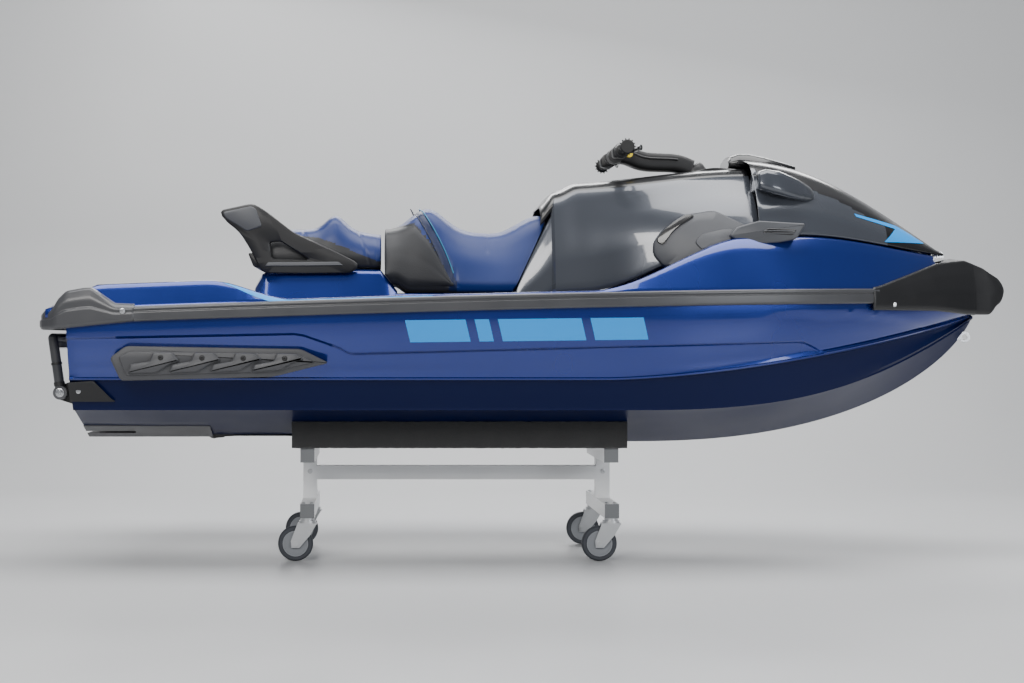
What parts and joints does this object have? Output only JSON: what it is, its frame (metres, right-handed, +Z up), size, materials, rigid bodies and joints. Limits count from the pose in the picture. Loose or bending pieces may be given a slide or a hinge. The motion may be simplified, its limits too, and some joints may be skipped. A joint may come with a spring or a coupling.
{
  "type": "three-seat personal watercraft on a wheeled cradle",
  "caption": "Jet-driven sit-on watercraft with handlebar, stepped saddle and opening hood, standing on a low bunk cradle with swivel casters.",
  "frame": {"origin": "on the floor, under the middle of the craft's length and beam", "axes": "+X forward to the bow, +Y to port, +Z up"},
  "size_m": [3.451, 1.2548, 1.483],
  "materials": {
    "hull_gloss": "gloss",
    "deck_gloss": "gloss",
    "grey_gloss": "gloss",
    "black_gloss": "gloss",
    "black_plastic": "satin",
    "grey_plastic": "satin",
    "seat_blue": "satin",
    "seat_charcoal": "satin",
    "mat_grey": "matte",
    "grip_rubber": "matte",
    "pump_grey": "satin",
    "bright_metal": "satin",
    "engine_grey": "matte",
    "cradle_white": "satin",
    "bunk_carpet": "matte",
    "cap_grey": "satin",
    "zinc": "satin",
    "wheel_rubber": "matte"
  },
  "bodies": {
    "craft": {"hull": "hull_gloss", "deck": "deck_gloss", "rub_rails": "grey_plastic", "bow_bumper": "black_plastic", "stern_bumper": "black_plastic", "stern_corner_caps": "black_plastic", "sponsons": "grey_plastic", "ride_plate": "grey_plastic", "intake_grate": "bright_metal", "pump_housing": "pump_grey", "step_brackets": "black_plastic", "storage_bin": "black_plastic", "console_top": "black_gloss", "side_panels": "grey_gloss", "side_intakes": "grey_plastic", "lid_hinge_pins": "bright_metal", "hood_hinge_pin": "bright_metal", "driver_seat": "seat_blue", "knee_pads": "seat_charcoal", "passenger_seat": "seat_blue", "grab_handle": "black_plastic", "deck_mats": "mat_grey", "cargo_sockets": "black_plastic", "engine_block": "engine_grey", "bow_eye": "bright_metal", "stern_eyes": "bright_metal", "cradle_spine": "cradle_white", "cradle_feet": "cradle_white", "cradle_crossbars": "cradle_white", "bunks": "bunk_carpet", "end_caps": "cap_grey"},
    "reverse_gate": {"reverse_bucket": "pump_grey"},
    "nozzle": {"steering_nozzle": "pump_grey"},
    "jet_rotor": {"impeller": "bright_metal"},
    "step": {"boarding_step": "black_plastic"},
    "glove_lid": {"glovebox_lid": "black_gloss"},
    "hood": {"front_lid": "black_gloss", "gauge_pod": "black_gloss", "mirrors": "grey_gloss"},
    "steering": {"handlebar": "black_plastic", "grips": "grip_rubber", "control_levers": "black_plastic"},
    "caster_rear_port": {"fork_rear_port": "zinc"},
    "roller_rear_port": {"wheel_rear_port": "wheel_rubber"},
    "caster_rear_starboard": {"fork_rear_starboard": "zinc"},
    "roller_rear_starboard": {"wheel_rear_starboard": "wheel_rubber"},
    "caster_front_port": {"fork_front_port": "zinc"},
    "roller_front_port": {"wheel_front_port": "wheel_rubber"},
    "caster_front_starboard": {"fork_front_starboard": "zinc"},
    "roller_front_starboard": {"wheel_front_starboard": "wheel_rubber"}
  },
  "joints": [
    {"name": "steering_turn", "type": "hinge", "parent": "craft", "child": "steering", "pos_m": [0.598, 0, 1.39168], "axis": [-0.6157, 0, 0.788], "range_deg": [-24, 24]},
    {"name": "nozzle_yaw", "type": "hinge", "parent": "craft", "child": "nozzle", "pos_m": [-1.5605, 0, 0.575], "axis": [0, 0, 1], "range_deg": [-18, 18]},
    {"name": "reverse_gate_tilt", "type": "hinge", "parent": "craft", "child": "reverse_gate", "pos_m": [-1.5005, 0, 0.575], "axis": [0, -1, 0], "range_deg": [0, 66]},
    {"name": "impeller_spin", "type": "hinge", "parent": "craft", "child": "jet_rotor", "pos_m": [-1.3705, 0, 0.575], "axis": [1, 0, 0], "continuous": true},
    {"name": "boarding_step_fold", "type": "hinge", "parent": "craft", "child": "step", "pos_m": [-1.6595, 0, 0.6], "axis": [0, -1, 0], "range_deg": [0, 150], "stiffness_Nm_per_rad": 2, "springref_deg": -68.75},
    {"name": "glovebox_lid_open", "type": "hinge", "parent": "craft", "child": "glove_lid", "pos_m": [0.258, 0, 1.32822], "axis": [0, 1, 0], "range_deg": [0, 40]},
    {"name": "hood_open", "type": "hinge", "parent": "craft", "child": "hood", "pos_m": [1.4895, 0, 1.09407], "axis": [0, 1, 0], "range_deg": [0, 60]},
    {"name": "swivel_rear_port", "type": "hinge", "parent": "craft", "child": "caster_rear_port", "pos_m": [-0.8185, 0.255, 0.145], "axis": [0, 0, 1], "continuous": true},
    {"name": "roll_rear_port", "type": "hinge", "parent": "caster_rear_port", "child": "roller_rear_port", "pos_m": [-0.8605, 0.255, 0.0625], "axis": [0, 1, 0], "continuous": true},
    {"name": "swivel_rear_starboard", "type": "hinge", "parent": "craft", "child": "caster_rear_starboard", "pos_m": [-0.8185, -0.255, 0.145], "axis": [0, 0, 1], "continuous": true},
    {"name": "roll_rear_starboard", "type": "hinge", "parent": "caster_rear_starboard", "child": "roller_rear_starboard", "pos_m": [-0.8605, -0.255, 0.0625], "axis": [0, 1, 0], "continuous": true},
    {"name": "swivel_front_port", "type": "hinge", "parent": "craft", "child": "caster_front_port", "pos_m": [0.2545, 0.255, 0.145], "axis": [0, 0, 1], "continuous": true},
    {"name": "roll_front_port", "type": "hinge", "parent": "caster_front_port", "child": "roller_front_port", "pos_m": [0.2125, 0.255, 0.0625], "axis": [0, 1, 0], "continuous": true},
    {"name": "swivel_front_starboard", "type": "hinge", "parent": "craft", "child": "caster_front_starboard", "pos_m": [0.2545, -0.255, 0.145], "axis": [0, 0, 1], "continuous": true},
    {"name": "roll_front_starboard", "type": "hinge", "parent": "caster_front_starboard", "child": "roller_front_starboard", "pos_m": [0.2125, -0.255, 0.0625], "axis": [0, 1, 0], "continuous": true}
  ],
  "couplings": [
    {"joint": "nozzle_yaw", "follows": "steering_turn", "ratio": -0.7}
  ]
}
